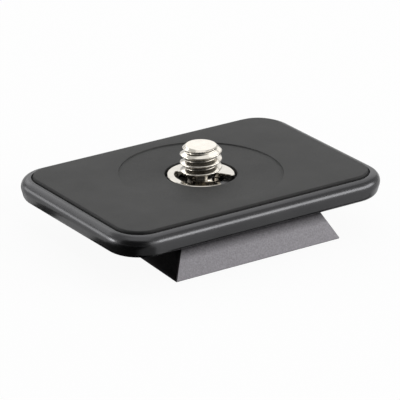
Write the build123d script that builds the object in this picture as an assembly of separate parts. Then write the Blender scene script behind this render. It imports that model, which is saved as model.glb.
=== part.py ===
"""Tripod quick release plate: a wedge-footed plate, its rubber pad and a captive camera screw.

Millimetres. X runs along the plate's long side, Y along its short side and Z up towards the camera.
The origin is under the middle of the foot, on the axis of the screw.
"""
import os
from math import cos, radians, tan

from build123d import *

# Top plate
plate_length = 47.0
plate_width = 32.7
plate_thickness = 3.3
plate_corner_radius = 5.6
wall_draft = 15.0  # degrees that the side wall leans in towards the underside
top_round = 1.35
under_round = 1.0
rim_width = 1.5  # from the plate's outer edge to the pad's pocket
pocket_depth = 0.62

# Wedge foot under the plate, which the tripod head clamps
foot_length = 29.0  # along its front edge
foot_width = 30.2
foot_height = 5.12
foot_taper = 3.5  # degrees that each end turns in towards the back, seen from above
flank_angle = 27.0  # degrees from upright, the same on all four sides
foot_edge_break = 0.12
foot_bite = 0.6  # how far the foot's blank runs up into the plate before the two are joined

# Rubber pad
pad_gap = 0.1  # between the pad's edge and the wall of its pocket
pad_thickness = 1.0
pad_edge_round = 0.35
disc_radius = 12.15  # shallow round recess about the screw
disc_depth = 0.2
pad_hole_gap = 0.35  # around the retaining clip
pad_hole_chamfer = 0.1

# Camera screw, 1/4 inch with 20 threads to the inch
thread_radius = 3.11  # over the crests
stud_height = 4.3  # tip above the pad with the screw let down
tip_radius = 2.25  # flat end of the tip
tip_angle = 45.0  # degrees of the tip's chamfer from the axis
thread_end_chamfer = 0.3
neck_radius = 2.3  # plain relief below the thread
neck_length = 0.45
groove_radius = 2.0  # seat of the retaining clip
groove_play = 0.1  # groove's width over the clip's thickness
bore_gap = 0.2  # around the shank
head_radius = 7.0
head_thickness = 2.6
head_chamfer = 0.35
head_recess = 0.4  # how far the head lies inside the foot's underside
head_gap = 0.3  # around the head in its counterbore
counterbore_chamfer = 0.4
screw_float = 0.25  # end play: how far the screw can be pushed up
slot_width = 1.8
slot_depth = 1.3

# Retaining clip, an E-shaped spring clip snapped on the screw's groove
clip_radius = 5.0
clip_thickness = 0.7
clip_running_gap = 0.05  # between the prongs and the groove
clip_pocket_radius = 3.9
clip_opening = -63.0  # degrees from +X to the middle of the opening
clip_mouth_width = 3.6  # of the opening at the clip's rim
clip_throat_width = 3.0  # of the opening at the prongs' tips
arm_prong_end = 80.0  # degrees from the opening's middle to the far side of each arm's prong
middle_prong_half = 11.0  # half angle of the middle prong
clip_pocket_round = 0.5
clip_arm_round = 0.4
clip_edge_break = 0.08

pick_tolerance = 0.01  # how near to a circle a corner lies that is picked for rounding

# Levels worked out from the sizes above
rim_z = foot_height + plate_thickness
pocket_floor_z = rim_z - pocket_depth
pad_top_z = pocket_floor_z + pad_thickness
clip_top_z = pocket_floor_z + clip_thickness
groove_floor_z = pocket_floor_z - groove_play
thread_start_z = clip_top_z + neck_length
tip_z = pad_top_z + stud_height
head_top_z = head_recess + head_thickness
head_seat_z = head_top_z + screw_float

# Radii and outlines that fits share
pocket_length = plate_length - 2 * rim_width
pocket_width = plate_width - 2 * rim_width
pocket_corner_radius = plate_corner_radius - rim_width
bore_radius = thread_radius + bore_gap
pad_hole_radius = clip_radius + pad_hole_gap
prong_radius = groove_radius + clip_running_gap


def plate_blank():
    """Plate with its leaning side wall, generous upper rounding and smaller lower one."""
    lean = radians(wall_draft)
    sharp_edge = top_round * (1 / cos(lean) + tan(lean) - 1)  # what the upper rounding takes off each side
    outline = RectangleRounded(
        plate_length + 2 * sharp_edge, plate_width + 2 * sharp_edge, plate_corner_radius + sharp_edge
    )
    blank = extrude(Pos(0, 0, rim_z) * outline, amount=plate_thickness, dir=(0, 0, -1), taper=wall_draft)
    blank = fillet(blank.faces().sort_by(Axis.Z)[-1].edges(), top_round)
    return fillet(blank.faces().sort_by(Axis.Z)[0].edges(), under_round)


def wedge_foot():
    """Four-sided wedge that widens downwards and towards its front, with its edges just broken."""
    base = Trapezoid(foot_length, foot_width, 90 - foot_taper)
    wedge = extrude(base, amount=foot_height + foot_bite, taper=flank_angle)
    top_edges = wedge.faces().sort_by(Axis.Z)[-1].edges()
    return chamfer(wedge.edges() - top_edges, foot_edge_break)


def plate_body():
    """Plate and foot in one piece, with the pad's pocket, the screw's bore and its counterbore."""
    body = plate_blank() + wedge_foot()
    pocket = Pos(0, 0, pocket_floor_z) * RectangleRounded(pocket_length, pocket_width, pocket_corner_radius)
    body -= extrude(pocket, amount=pocket_depth)
    body -= extrude(Circle(bore_radius), amount=rim_z)
    counterbore = extrude(Circle(head_radius + head_gap), amount=head_seat_z)
    lip = Cone(
        head_radius + head_gap + counterbore_chamfer,
        head_radius + head_gap,
        counterbore_chamfer,
        align=(Align.CENTER, Align.CENTER, Align.MIN),
    )
    return body - counterbore - lip


def grip_pad():
    """Rubber sheet in the pocket, with a shallow round recess and a hole for the clip."""
    outline = RectangleRounded(
        pocket_length - 2 * pad_gap, pocket_width - 2 * pad_gap, pocket_corner_radius - pad_gap
    )
    pad = extrude(Pos(0, 0, pocket_floor_z) * outline, amount=pad_thickness)
    pad = fillet(pad.faces().sort_by(Axis.Z)[-1].edges(), pad_edge_round)
    pad -= extrude(Pos(0, 0, pad_top_z) * Circle(disc_radius), amount=-disc_depth)
    pad -= extrude(Pos(0, 0, pocket_floor_z) * Circle(pad_hole_radius), amount=pad_thickness)
    disc_level = pad_top_z - disc_depth
    hole_edges = pad.edges().filter_by(GeomType.CIRCLE).filter_by_position(Axis.Z, disc_level, disc_level)
    return chamfer(hole_edges.sort_by(SortBy.RADIUS)[0], pad_hole_chamfer)


def camera_screw():
    """Captive screw turned in one piece, from its slotted head up to the chamfered tip."""
    tip_chamfer = (thread_radius - tip_radius) / tan(radians(tip_angle))
    half_section = Polyline(
        (0, head_recess),
        (head_radius - head_chamfer, head_recess),
        (head_radius, head_recess + head_chamfer),
        (head_radius, head_top_z - head_chamfer),
        (head_radius - head_chamfer, head_top_z),
        (thread_radius, head_top_z),
        (thread_radius, groove_floor_z),
        (groove_radius, groove_floor_z),
        (groove_radius, clip_top_z),
        (neck_radius, clip_top_z),
        (neck_radius, thread_start_z),
        (thread_radius - thread_end_chamfer, thread_start_z),
        (thread_radius, thread_start_z + thread_end_chamfer),
        (thread_radius, tip_z - tip_chamfer),
        (tip_radius, tip_z),
        (0, tip_z),
        close=True,
    )
    screw = revolve(make_face(Plane.XZ * half_section), Axis.Z)
    slot = Box(3 * head_radius, slot_width, slot_depth, align=(Align.CENTER, Align.CENTER, Align.MIN))
    return screw - Pos(0, 0, head_recess) * slot


def corners_on_circle(outline, radius):
    """Corners of a flat outline that lie on a circle about the screw's axis."""
    return [corner for corner in outline.vertices() if abs(Vector(corner).length - radius) < pick_tolerance]


def clip_outline():
    """Flat shape of the clip with its opening towards +X: an outer ring and three inward prongs."""
    reach = 2 * clip_radius
    outline = Circle(clip_radius) - Circle(prong_radius)
    for side in (1, -1):
        start = Vector(reach, 0).rotate(Axis.Z, side * arm_prong_end)
        end = Vector(reach, 0).rotate(Axis.Z, side * (180 - middle_prong_half))
        wedge = make_face(Polyline((0, 0), start, end, close=True))
        outline -= wedge & Circle(clip_pocket_radius)
    mouth, throat = clip_mouth_width / 2, clip_throat_width / 2
    widening = (mouth - throat) / (clip_radius - prong_radius)
    far = mouth + widening * (reach - clip_radius)
    near = throat - widening * prong_radius
    opening = make_face(Polyline((0, -near), (reach, -far), (reach, far), (0, near), close=True))
    outline -= opening
    outline = fillet(corners_on_circle(outline, clip_radius), clip_arm_round)
    return fillet(corners_on_circle(outline, clip_pocket_radius), clip_pocket_round)


def retaining_clip():
    """Stamped clip lying on the pocket's floor, in the pad's hole."""
    outline = Pos(0, 0, pocket_floor_z) * Rot(0, 0, clip_opening) * clip_outline()
    clip = extrude(outline, amount=clip_thickness)
    return chamfer(clip.faces().sort_by(Axis.Z)[-1].edges(), clip_edge_break)


os.makedirs("parts", exist_ok=True)
for make_piece in (plate_body, grip_pad, camera_screw, retaining_clip):
    export_step(make_piece(), f"parts/{make_piece.__name__}.step")
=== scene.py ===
"""Tripod quick release plate: threaded screw, rubber pad, finishes, light and camera.

Metres, in the frame of the solids: X along the plate's long side, Z up, the screw's axis on Z.
"""
from math import atan2, cos, pi, radians, sin, tan

import bmesh
import bpy
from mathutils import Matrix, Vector


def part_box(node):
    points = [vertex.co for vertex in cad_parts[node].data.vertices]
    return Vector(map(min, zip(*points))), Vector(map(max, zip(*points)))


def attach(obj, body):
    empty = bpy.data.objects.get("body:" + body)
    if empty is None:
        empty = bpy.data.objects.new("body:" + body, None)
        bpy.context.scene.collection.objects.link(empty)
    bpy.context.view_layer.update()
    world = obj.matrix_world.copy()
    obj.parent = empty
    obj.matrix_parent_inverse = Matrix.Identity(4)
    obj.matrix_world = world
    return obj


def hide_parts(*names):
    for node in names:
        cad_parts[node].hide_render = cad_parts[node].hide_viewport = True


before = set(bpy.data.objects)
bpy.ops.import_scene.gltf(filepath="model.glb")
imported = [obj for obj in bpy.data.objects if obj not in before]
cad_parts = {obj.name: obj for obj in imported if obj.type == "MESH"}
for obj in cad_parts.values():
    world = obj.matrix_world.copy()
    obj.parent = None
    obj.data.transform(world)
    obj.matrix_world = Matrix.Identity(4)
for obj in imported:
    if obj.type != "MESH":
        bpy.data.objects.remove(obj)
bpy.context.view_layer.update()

MM = 0.001

# Levels and radii read from the solids
plate_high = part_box("plate_body")[1]
pad_low, pad_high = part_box("grip_pad")
clip_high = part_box("retaining_clip")[1]
screw_low, screw_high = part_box("camera_screw")
pocket_floor_z = pad_low.z
head_radius = screw_high.x

foot_top_z = 5.12 * MM  # where the foot meets the plate's underside

# Rubber pad
pad_corner_radius = 4.0 * MM
pad_edge_round = 0.28 * MM
pad_trim = 0.12 * MM  # taken off the pad all round, so that its gap to the rim shows
pad_length = pad_high.x - pad_low.x - 2 * pad_trim
pad_width = pad_high.y - pad_low.y - 2 * pad_trim
disc_radius = 12.15 * MM
disc_depth = 0.2 * MM
disc_step_round = 0.06 * MM
hole_gap = 0.35 * MM  # around the clip
hole_radius = clip_high.x + hole_gap
hole_edge_round = 0.1 * MM

# Camera screw, 1/4 inch with 20 threads to the inch
thread_pitch = 25.4 * MM / 20
thread_crest_radius = 3.11 * MM
thread_root_radius = 2.36 * MM
thread_crest_width = 0.15 * MM
thread_flank_angle = radians(30)  # of each flank from square to the axis
thread_rounding = 0.14  # share of a flank that rounds into the crest and into the root
crest_angle = radians(-124.2)  # where, around the screw, a crest stands crest_rise over the clip
crest_rise = 0.9 * MM
thread_start_rise = 0.45 * MM  # from the clip's top to the thread's lower end
thread_end_chamfer = 0.3 * MM
thread_row = 0.02 * MM  # height of one row of the thread's faces, at least
tip_radius = 2.25 * MM
tip_edge_round = 0.22 * MM
edge_blend = 0.03 * MM  # width over which the chamfers run into the thread
neck_radius = 2.3 * MM
groove_radius = 2.0 * MM
groove_play = 0.1 * MM  # groove's width over the clip's thickness
groove_floor_z = pocket_floor_z - groove_play
head_thickness = 2.58 * MM  # stops just short of its seat when the screw is drawn up
head_chamfer = 0.35 * MM
slot_width = 1.8 * MM
slot_depth = 1.3 * MM

# How finely curves are divided
screw_columns = 180
corner_steps = 16
side_steps = 14
round_steps = 6
smooth_below = radians(35)

# Finishes and painted shade: the dark and the light colour that a noise varies each one between
satin_black = (0.07, 0.07, 0.0725), (0.08, 0.08, 0.0825)
blasted_black = (0.1145, 0.11, 0.1169), (0.162, 0.156, 0.1656)
# Painted shadow of the plate's overhang on the foot's root
foot_painted_shadow = (0.006, 0.0058, 0.0061), (0.018, 0.0174, 0.0185)
rubber_black = (0.034, 0.034, 0.0335), (0.042, 0.042, 0.041)
# Painted shade on the pad's rounded edge and in its gap to the rim
rubber_painted_shade = (0.007, 0.007, 0.007), (0.009, 0.009, 0.009)
screw_nickel = (0.76, 0.72, 0.648), (0.82, 0.78, 0.708)
clip_nickel = (0.6, 0.57, 0.52), (0.65, 0.62, 0.565)
# Painted shade for the screw's shank in the clip's groove, its neck and its thread roots
nickel_painted_shade = (0.045, 0.04, 0.036), (0.065, 0.06, 0.053)
noise_low, noise_high = 0.3, 0.7  # most of a noise lies between these

satin_roughness, blasted_roughness = 0.27, 0.5
rubber_roughness = 0.62, 0.75
nickel_roughness = 0.1, 0.17
rubber_specular = 0.45

# Where a finish changes, and where painted shade starts and ends
blasting_depth = 0.2 * MM  # under the foot's top, over which satin turns into blasted
shadow_fade_start, shadow_fade_end = 1.12 * MM, 2.7 * MM  # under the foot's top, where the painted shadow of the plate on its root fades out
pad_shade_start, pad_shade_end = 0.3 * MM, 0.06 * MM  # in from the pad's outline, where painted shade darkens the rubber
root_shade_fade_start, root_shade_fade_end = 2.1 * MM, 1.2 * MM  # under the tip, where the painted shade in the thread's roots ends
root_shade_share = 0.46  # of painted shade in the thread's roots
shade_margin = 0.02 * MM  # over the groove's floor and over the clip's top

# Studio
floor_size = 6.0
floor_white = 0.9
floor_camera_glow = 0.94  # share of plain white in the floor that the camera sees
floor_mirror_glow = 0.4  # the same in the floor that reflections show
room_mirror_level = 0.6  # of the white room in reflections
room_light_level = 0.4  # of the room as a light
card_black = 0.01
card_grey = 0.3
card_specular = 0.5

# Camera of the photograph
camera_azimuth = radians(-34.17)
camera_elevation = radians(21.68)
camera_distance = 484.4 * MM
camera_lens_mm = 296.4
camera_aim_right = -0.132 * MM
camera_aim_up = -3.796 * MM


def piece(name, points, faces, material):
    """Closed mesh object from its points and faces, smooth except at sharp edges."""
    mesh = bpy.data.meshes.new(name)
    mesh.from_pydata(points, [], faces)
    shell = bmesh.new()
    shell.from_mesh(mesh)
    bmesh.ops.recalc_face_normals(shell, faces=shell.faces)
    shell.to_mesh(mesh)
    shell.free()
    mesh.shade_smooth()
    mesh.set_sharp_from_angle(angle=smooth_below)
    mesh.materials.append(material)
    made = bpy.data.objects.new(name, mesh)
    bpy.context.scene.collection.objects.link(made)
    return made


def skin(rings):
    """Points and faces of the wall that joins equal rings of points, each to the next."""
    count = len(rings[0])
    points = [point for ring in rings for point in ring]
    faces = []
    for lower in range(len(rings) - 1):
        for step in range(count):
            after = (step + 1) % count
            here, above = lower * count, (lower + 1) * count
            faces.append((here + step, here + after, above + after, above + step))
    return points, faces


def arc(radius, start, end, steps=round_steps):
    """Points on an arc about (0, 0), as pairs."""
    angles = [start + (end - start) * step / steps for step in range(steps + 1)]
    return [(radius * cos(angle), radius * sin(angle)) for angle in angles]


def rounded_rectangle(length, width, corner_radius):
    """Points round a rectangle with rounded corners, each side and corner divided evenly."""
    outline = []
    half_x, half_y = length / 2 - corner_radius, width / 2 - corner_radius
    corners = [(half_x, half_y), (-half_x, half_y), (-half_x, -half_y), (half_x, -half_y)]
    for quarter, (x, y) in enumerate(corners):
        turn = quarter * pi / 2
        quarter_arc = arc(corner_radius, turn, turn + pi / 2, corner_steps)
        bend = [Vector((x + dx, y + dy)) for dx, dy in quarter_arc]
        next_x, next_y = corners[(quarter + 1) % 4]
        next_start = Vector((next_x - corner_radius * sin(turn), next_y + corner_radius * cos(turn)))
        side = [bend[-1].lerp(next_start, step / side_steps) for step in range(1, side_steps)]
        outline += bend + side
    return outline


def grip_pad(material):
    """Rubber sheet with a soft edge, a shallow round recess and a hole for the clip."""
    bottom, top = pad_low.z, pad_high.z
    disc_z = top - disc_depth
    whole_outline = rounded_rectangle(pad_length, pad_width, pad_corner_radius)
    directions = [atan2(point.y, point.x) for point in whole_outline]

    def outer(inset, z):
        length, width = pad_length - 2 * inset, pad_width - 2 * inset
        outline = rounded_rectangle(length, width, pad_corner_radius - inset)
        return [(point.x, point.y, z) for point in outline]

    def inner(radius, z):
        return [(radius * cos(angle), radius * sin(angle), z) for angle in directions]

    rings = [outer(0, bottom)]
    for out, up in arc(pad_edge_round, 0, pi / 2):
        rings.append(outer(pad_edge_round - out, top - pad_edge_round + up))
    for out, up in arc(disc_step_round, pi / 2, pi):
        rings.append(inner(disc_radius + disc_step_round + out, top - disc_step_round + up))
    for out, up in arc(disc_step_round, 0, -pi / 2):
        rings.append(inner(disc_radius - disc_step_round + out, disc_z + disc_step_round + up))
    for out, up in arc(hole_edge_round, pi / 2, pi):
        rings.append(inner(hole_radius + hole_edge_round + out, disc_z - hole_edge_round + up))
    rings.append(inner(hole_radius, bottom))
    points, faces = skin(rings + [rings[0]])
    last = len(rings) * len(directions)
    faces = [tuple(index - last if index >= last else index for index in face) for face in faces]
    return piece("rubber_grip_pad", points[:last], faces, material)


def soft_step(share):
    """0 below 0 and 1 above 1, straight between, with both bends rounded."""
    bend = thread_rounding
    if share <= -bend:
        return 0.0
    if share < bend:
        return (share + bend) ** 2 / (4 * bend)
    if share <= 1 - bend:
        return share
    if share < 1 + bend:
        return 1 - (1 + bend - share) ** 2 / (4 * bend)
    return 1.0


def soft_least(first, second):
    """The lesser of two lengths, rounded where they meet."""
    gap = max(edge_blend - abs(first - second), 0) / edge_blend
    return min(first, second) - gap * gap * edge_blend / 4


def thread_radius(angle, height):
    """Radius of a right-hand thread at an angle and at a height over the clip's top."""
    turns = (height - crest_rise) / thread_pitch - (angle - crest_angle) / (2 * pi)
    from_crest = abs(turns - round(turns)) * thread_pitch
    depth = thread_crest_radius - thread_root_radius
    flank_width = depth * tan(thread_flank_angle)
    down_flank = (from_crest - thread_crest_width / 2) / flank_width
    return thread_crest_radius - depth * soft_step(down_flank)


def camera_screw(material):
    """Whole captive screw: slotted head, shank, clip groove, neck and thread."""
    head_low, tip_z = screw_low.z, screw_high.z
    head_top = head_low + head_thickness
    clip_top = clip_high.z
    thread_start = clip_top + thread_start_rise
    angles = [2 * pi * column / screw_columns for column in range(screw_columns)]

    def plain(radius, z):
        return [(radius * cos(angle), radius * sin(angle), z) for angle in angles]

    def threaded(z):
        lower_chamfer = thread_crest_radius - thread_end_chamfer + z - thread_start
        tip_chamfer = tip_radius + tip_z - z
        ring = []
        for angle in angles:
            radius = soft_least(thread_radius(angle, z - clip_top), lower_chamfer)
            radius = soft_least(radius, tip_chamfer)
            ring.append((radius * cos(angle), radius * sin(angle), z))
        return ring

    rings = [
        plain(head_radius - head_chamfer, head_low),
        plain(head_radius, head_low + head_chamfer),
        plain(head_radius, head_top - head_chamfer),
        plain(head_radius - head_chamfer, head_top),
        plain(thread_crest_radius, head_top),
        plain(thread_crest_radius, groove_floor_z),
        plain(groove_radius, groove_floor_z),
        plain(groove_radius, clip_top),
        plain(neck_radius, clip_top),
        plain(neck_radius, thread_start),
    ]
    tip_bend = tip_edge_round * tan(pi / 8)  # from the sharp corner to either end of the rounding
    chamfer_end = tip_z - tip_bend * sin(pi / 4)
    rows = int((chamfer_end - thread_start) / thread_row)
    for row in range(rows + 1):
        rings.append(threaded(thread_start + (chamfer_end - thread_start) * row / rows))
    for out, up in arc(tip_edge_round, pi / 4, pi / 2)[1:]:
        rings.append(plain(tip_radius - tip_bend + out, tip_z - tip_edge_round + up))
    points, faces = skin(rings)
    faces.append(tuple(range(screw_columns)))
    faces.append(tuple(range(len(points) - screw_columns, len(points))))
    screw = piece("threaded_camera_screw", points, faces, material)
    cut_slot(screw, head_low)
    return screw


def cut_slot(screw, head_low):
    """Cuts the coin slot across the underside of the screw's head."""
    bpy.ops.mesh.primitive_cube_add(size=1, location=(0, 0, head_low))
    cutter = bpy.context.object
    cutter_length = 3 * head_radius  # past the head at both ends
    cutter.scale = (cutter_length, slot_width, 2 * slot_depth)
    cut = screw.modifiers.new("coin_slot", "BOOLEAN")
    cut.operation = "DIFFERENCE"
    cut.solver = "EXACT"
    cut.object = cutter
    bpy.context.view_layer.update()
    evaluated = screw.evaluated_get(bpy.context.evaluated_depsgraph_get())
    slotted = bpy.data.meshes.new_from_object(evaluated)
    screw.modifiers.clear()
    screw.data = slotted
    slotted.set_sharp_from_angle(angle=smooth_below)
    bpy.data.objects.remove(cutter)


def new_material(name):
    """Material with its node tree, its surface shader and the place of each point on the piece."""
    material = bpy.data.materials.new(name)
    material.use_nodes = True
    tree = material.node_tree
    place = tree.nodes.new("ShaderNodeTexCoord").outputs["Object"]
    return material, tree, tree.nodes["Principled BSDF"], place


def grain(tree, place, size, detail):
    """Noise from 0 to 1 whose spots are about that size."""
    noise = tree.nodes.new("ShaderNodeTexNoise")
    noise.inputs["Scale"].default_value = 1 / size
    noise.inputs["Detail"].default_value = detail
    tree.links.new(place, noise.inputs["Vector"])
    return noise.outputs[0]


def vary_number(tree, value, low, high, start=noise_low, end=noise_high):
    """Number that runs from low to high while a value runs from its start to its end."""
    spread = tree.nodes.new("ShaderNodeMapRange")
    spread.inputs["From Min"].default_value = start
    spread.inputs["From Max"].default_value = end
    spread.inputs["To Min"].default_value = low
    spread.inputs["To Max"].default_value = high
    tree.links.new(value, spread.inputs["Value"])
    return spread.outputs["Result"]


def vary_colour(tree, noise, colours):
    """Colour that runs from a dark to a light one with a noise."""
    ramp = tree.nodes.new("ShaderNodeValToRGB")
    for stop, position, colour in zip(ramp.color_ramp.elements, (noise_low, noise_high), colours):
        stop.position = position
        stop.color = (*colour, 1)
    tree.links.new(noise, ramp.inputs["Fac"])
    return ramp.outputs["Color"]


def mix_colours(tree, share, first, second):
    """Colour between two others: the first where the share is 0 and the second where it is 1."""
    mix = tree.nodes.new("ShaderNodeMix")
    mix.data_type = "RGBA"
    ends = [socket for socket in mix.inputs if socket.type == "RGBA"]
    tree.links.new(share, mix.inputs["Factor"])
    tree.links.new(first, ends[0])
    tree.links.new(second, ends[1])
    return next(socket for socket in mix.outputs if socket.type == "RGBA")


def mix_shaders(tree, share, first, second):
    """Shader between two others: the first where the share is 0 and the second where it is 1."""
    mix = tree.nodes.new("ShaderNodeMixShader")
    for source, socket in zip((share, first, second), mix.inputs):
        tree.links.new(source, socket)
    return mix.outputs["Shader"]


def number_step(tree, operation, *operands):
    """Outcome of one operation on numbers, each written out or coming from another node."""
    step = tree.nodes.new("ShaderNodeMath")
    step.operation = operation
    for operand, socket in zip(operands, step.inputs):
        if isinstance(operand, bpy.types.NodeSocket):
            tree.links.new(operand, socket)
        else:
            socket.default_value = operand
    return step.outputs["Value"]


def vector_step(tree, operation, vector, operand=(0, 0, 0)):
    """Outcome of one operation on a vector: a length for LENGTH and else a vector."""
    step = tree.nodes.new("ShaderNodeVectorMath")
    step.operation = operation
    step.inputs[1].default_value = operand
    tree.links.new(vector, step.inputs[0])
    return step.outputs["Value" if operation == "LENGTH" else "Vector"]


def height_of(tree, place):
    """Height of each point over the foot's underside."""
    split = tree.nodes.new("ShaderNodeSeparateXYZ")
    tree.links.new(place, split.inputs["Vector"])
    return split.outputs["Z"]


def raise_grain(tree, surface, noise, depth, strength):
    """Bumps on a surface, on top of those that it has."""
    bump = tree.nodes.new("ShaderNodeBump")
    bump.inputs["Distance"].default_value = depth
    bump.inputs["Strength"].default_value = strength
    tree.links.new(noise, bump.inputs["Height"])
    if surface.inputs["Normal"].is_linked:
        tree.links.new(surface.inputs["Normal"].links[0].from_socket, bump.inputs["Normal"])
    tree.links.new(bump.outputs["Normal"], surface.inputs["Normal"])


def black_anodised():
    """Black anodised aluminium: satin on the plate, blasted on the foot, and a painted shadow of the
    plate darkening the foot's root.
    """
    material, tree, surface, place = new_material("black_anodised_aluminium")
    surface.inputs["Metallic"].default_value = 1.0
    height = height_of(tree, place)
    blast = grain(tree, place, size=0.22 * MM, detail=3)
    cloud = grain(tree, place, size=5 * MM, detail=2)
    on_foot = vary_number(tree, height, 0, 1, foot_top_z, foot_top_z - blasting_depth)
    # Painted shadow: the foot darkens towards the plate, which shades it
    out_of_painted_shadow = vary_number(tree, height, 0, 1, foot_top_z - shadow_fade_start, foot_top_z - shadow_fade_end)
    painted_shadow_colour = vary_colour(tree, blast, foot_painted_shadow)
    foot_colour = mix_colours(tree, out_of_painted_shadow, painted_shadow_colour, vary_colour(tree, blast, blasted_black))
    colour = mix_colours(tree, on_foot, vary_colour(tree, cloud, satin_black), foot_colour)
    roughness = vary_number(tree, on_foot, satin_roughness, blasted_roughness, 0, 1)
    tree.links.new(colour, surface.inputs["Base Color"])
    tree.links.new(roughness, surface.inputs["Roughness"])
    raise_grain(tree, surface, blast, depth=0.006 * MM, strength=0.3)
    return material


def black_rubber():
    """Matte black rubber with a fine moulded grain, and painted shade darkening it round its rounded
    edge.
    """
    material, tree, surface, place = new_material("black_rubber")
    surface.inputs["Specular IOR Level"].default_value = rubber_specular
    skin_grain = grain(tree, place, size=0.16 * MM, detail=3)
    cloud = grain(tree, place, size=3.5 * MM, detail=3)
    corner_centre = (pad_length / 2 - pad_corner_radius, pad_width / 2 - pad_corner_radius, 0)
    past_corner = vector_step(tree, "SUBTRACT", vector_step(tree, "ABSOLUTE", place), corner_centre)
    outward = vector_step(tree, "MULTIPLY", vector_step(tree, "MAXIMUM", past_corner), (1, 1, 0))
    reach = vector_step(tree, "LENGTH", outward)
    # Painted shade: the rubber darkens towards its outline, on its rounded edge
    in_painted_shade = vary_number(tree, reach, 0, 1, pad_corner_radius - pad_shade_start, pad_corner_radius - pad_shade_end)
    top_colour = vary_colour(tree, cloud, rubber_black)
    colour = mix_colours(tree, in_painted_shade, top_colour, vary_colour(tree, cloud, rubber_painted_shade))
    tree.links.new(colour, surface.inputs["Base Color"])
    tree.links.new(vary_number(tree, skin_grain, *rubber_roughness), surface.inputs["Roughness"])
    raise_grain(tree, surface, cloud, depth=0.02 * MM, strength=0.25)
    raise_grain(tree, surface, skin_grain, depth=0.012 * MM, strength=0.5)
    return material


def level_band(tree, height, low, high):
    """1 between two heights and 0 outside them."""
    return number_step(tree, "COMPARE", height, (high + low) / 2, (high - low) / 2)


def painted_shade_places(tree, place):
    """Share of painted shade: 1 on the screw's shank, part of that in its neck and the lower thread
    roots, and 0 elsewhere.
    """
    height = height_of(tree, place)
    radius = vector_step(tree, "LENGTH", vector_step(tree, "MULTIPLY", place, (1, 1, 0)))
    shank = level_band(tree, height, screw_low.z + head_thickness, groove_floor_z + shade_margin)
    thread = level_band(tree, height, clip_high.z + shade_margin, screw_high.z)
    root = vary_number(tree, radius, root_shade_share, 0, thread_root_radius, thread_crest_radius)
    fade_start, fade_end = screw_high.z - root_shade_fade_start, screw_high.z - root_shade_fade_end
    low_root = number_step(tree, "MULTIPLY", root, vary_number(tree, height, 1, 0, fade_start, fade_end))
    return number_step(tree, "MULTIPLY_ADD", low_root, thread, shank)


def nickel(name, colours):
    """Bright nickel plating, a little uneven and faintly warm, with painted shade darkening it in places
    on the screw.
    """
    material, tree, surface, place = new_material(name)
    surface.inputs["Metallic"].default_value = 1.0
    ripple = grain(tree, place, size=0.35 * MM, detail=2)
    cloud = grain(tree, place, size=1.2 * MM, detail=2)
    bright_colour = vary_colour(tree, cloud, colours)
    shaded_colour = vary_colour(tree, cloud, nickel_painted_shade)
    # Painted shade in the groove, the neck and the thread roots
    colour = mix_colours(tree, painted_shade_places(tree, place), bright_colour, shaded_colour)
    tree.links.new(colour, surface.inputs["Base Color"])
    tree.links.new(vary_number(tree, ripple, *nickel_roughness), surface.inputs["Roughness"])
    raise_grain(tree, surface, ripple, depth=0.004 * MM, strength=0.25)
    return material


def white_floor():
    """White floor that shows the object's shadow and is clear from below."""
    bpy.ops.mesh.primitive_plane_add(size=floor_size, location=(0, 0, 0))
    floor = bpy.context.object
    floor.name = "studio_floor"
    material = bpy.data.materials.new("white_floor")
    material.use_nodes = True
    tree = material.node_tree
    tree.nodes.clear()
    matte = tree.nodes.new("ShaderNodeBsdfDiffuse")
    matte.inputs["Color"].default_value = (floor_white, floor_white, floor_white, 1)
    glow = tree.nodes.new("ShaderNodeEmission")
    clear = tree.nodes.new("ShaderNodeBsdfTransparent")
    path = tree.nodes.new("ShaderNodeLightPath")
    side = tree.nodes.new("ShaderNodeNewGeometry")
    output = tree.nodes.new("ShaderNodeOutputMaterial")
    share = number_step(tree, "MULTIPLY", path.outputs["Is Camera Ray"], floor_camera_glow)
    share = number_step(tree, "MULTIPLY_ADD", path.outputs["Is Glossy Ray"], floor_mirror_glow, share)
    upper = mix_shaders(tree, share, matte.outputs["BSDF"], glow.outputs["Emission"])
    both = mix_shaders(tree, side.outputs["Backfacing"], upper, clear.outputs["BSDF"])
    tree.links.new(both, output.inputs["Surface"])
    floor.data.materials.append(material)


def white_room():
    """White room for the camera that is dimmer in reflections and dimmest as a light."""
    world = bpy.data.worlds.new("studio")
    bpy.context.scene.world = world
    world.use_nodes = True
    tree = world.node_tree
    room = tree.nodes["Background"]
    path = tree.nodes.new("ShaderNodeLightPath")
    mirrored = number_step(tree, "MULTIPLY", path.outputs["Is Glossy Ray"], room_mirror_level)
    seen = number_step(tree, "MAXIMUM", path.outputs["Is Camera Ray"], mirrored)
    level = number_step(tree, "MAXIMUM", seen, room_light_level)
    tree.links.new(level, room.inputs["Strength"])
    room.inputs["Color"].default_value = (1, 1, 1, 1)


def softbox(name, azimuth, elevation, distance, size, radiance):
    """Area light facing the object, at degrees round from +X and up from the floor."""
    lamp = bpy.data.lights.new(name, "AREA")
    lamp.shape = "RECTANGLE"
    width, height = size
    lamp.size, lamp.size_y = width, height
    lamp.energy = radiance * pi * width * height
    turn, rise = radians(azimuth), radians(elevation)
    towards = Vector((cos(turn) * cos(rise), sin(turn) * cos(rise), sin(rise)))
    stand = bpy.data.objects.new(name, lamp)
    stand.location = towards * distance
    stand.rotation_mode = "QUATERNION"
    stand.rotation_quaternion = towards.to_track_quat("Z", "Y")
    stand.visible_camera = False
    bpy.context.scene.collection.objects.link(stand)


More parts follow.
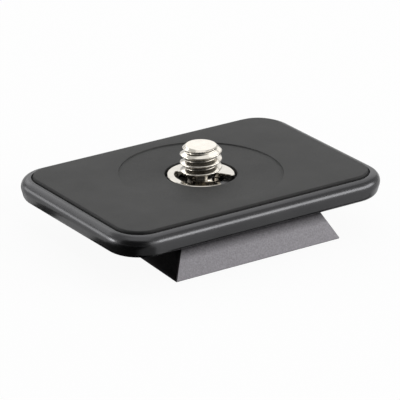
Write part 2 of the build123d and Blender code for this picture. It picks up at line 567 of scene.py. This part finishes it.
def softboxes():
    """Lights round the object, which are also what its rims and its metal mirror."""
    softbox("ceiling_softbox", azimuth=-124, elevation=80, distance=0.6, size=(0.5, 0.5), radiance=0.4)
    softbox("top_softbox", azimuth=35, elevation=58, distance=0.6, size=(0.45, 0.35), radiance=0.8)
    softbox("key_softbox", azimuth=-43, elevation=19, distance=0.6, size=(0.56, 0.22), radiance=4.9)
    softbox("key_end_softbox", azimuth=-79, elevation=19, distance=0.6, size=(0.23, 0.22), radiance=1.1)
    softbox("back_wall", azimuth=60, elevation=29, distance=0.8, size=(1.1, 0.42), radiance=0.65)
    softbox("left_back_softbox", azimuth=100, elevation=33, distance=0.7, size=(0.6, 0.25), radiance=0.95)
    softbox("left_softbox", azimuth=128, elevation=8, distance=0.7, size=(0.4, 0.2), radiance=2.4)
    softbox("left_end_softbox", azimuth=153, elevation=11, distance=0.7, size=(0.24, 0.18), radiance=8.5)


def dark_card(name, middle_mm, size_mm, turn_deg=(0, 0, 0), shade=card_black, specular=card_specular):
    """Card that only reflections show, to take light out of them."""
    middle = [distance * MM for distance in middle_mm]
    turn = [radians(angle) for angle in turn_deg]
    bpy.ops.mesh.primitive_plane_add(size=1, location=middle, rotation=turn)
    card = bpy.context.object
    card.name = name
    card.scale = (size_mm[0] * MM, size_mm[1] * MM, 1)
    material = bpy.data.materials.new(name)
    material.use_nodes = True
    surface = material.node_tree.nodes["Principled BSDF"]
    surface.inputs["Base Color"].default_value = (shade, shade, shade, 1)
    surface.inputs["Specular IOR Level"].default_value = specular
    card.data.materials.append(material)
    card.visible_camera = False
    card.visible_diffuse = False
    card.visible_shadow = False
    return card


def dark_cards():
    """Cards on the floor and before the camera, and a flag that keeps light off the foot's left end."""
    dark_card("floor_card", middle_mm=(-78, -64, 0.1), size_mm=(122, 130))
    dark_card("corner_card", middle_mm=(-19.6, -28.4, 0.2), size_mm=(7.8, 23), shade=card_grey)
    dark_card("left_card", middle_mm=(-24.5, 14.2, 0.1), size_mm=(11, 5.8))
    dark_card("under_card", middle_mm=(-17.8, 8.5, 0.1), size_mm=(6.4, 49), specular=0)
    dark_card("front_card", middle_mm=(7, -16.4, 0.1), size_mm=(40, 2.6))
    dark_card("camera_card", middle_mm=(-219, -205, 230), size_mm=(560, 460), turn_deg=(90, 0, -47))
    flag_place = {"middle_mm": (-21, 8.5, 2.45), "size_mm": (49, 4.9), "turn_deg": (90, 0, 90)}
    flag = dark_card("low_flag", **flag_place, specular=0)
    flag.visible_shadow = True


def photo_camera():
    """Camera at the photograph's angle and framing."""
    level = cos(camera_elevation)
    back = Vector((sin(camera_azimuth) * level, -cos(camera_azimuth) * level, sin(camera_elevation)))
    right = Vector((cos(camera_azimuth), sin(camera_azimuth), 0))
    up = back.cross(right)
    centre = Vector((0, 0, plate_high.z))
    data = bpy.data.cameras.new("photo_camera")
    data.lens = camera_lens_mm
    camera = bpy.data.objects.new("photo_camera", data)
    camera.location = centre + back * camera_distance
    aim = centre + right * camera_aim_right + up * camera_aim_up
    camera.rotation_mode = "QUATERNION"
    camera.rotation_quaternion = (aim - camera.location).to_track_quat("-Z", "Y")
    bpy.context.scene.collection.objects.link(camera)
    bpy.context.scene.camera = camera


def finish_node(name, material):
    """Gives a solid that stays in view its material."""
    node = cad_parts[name]
    node.data.materials.clear()
    node.data.materials.append(material)


finish_node("plate_body", black_anodised())
finish_node("retaining_clip", nickel("clip_nickel", clip_nickel))

pad = grip_pad(black_rubber())
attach(pad, "plate")
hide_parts("grip_pad")

screw = camera_screw(nickel("screw_nickel", screw_nickel))
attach(screw, "screw")
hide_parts("camera_screw")

white_floor()
white_room()
softboxes()
dark_cards()
photo_camera()
bpy.context.scene.view_settings.view_transform = "Standard"
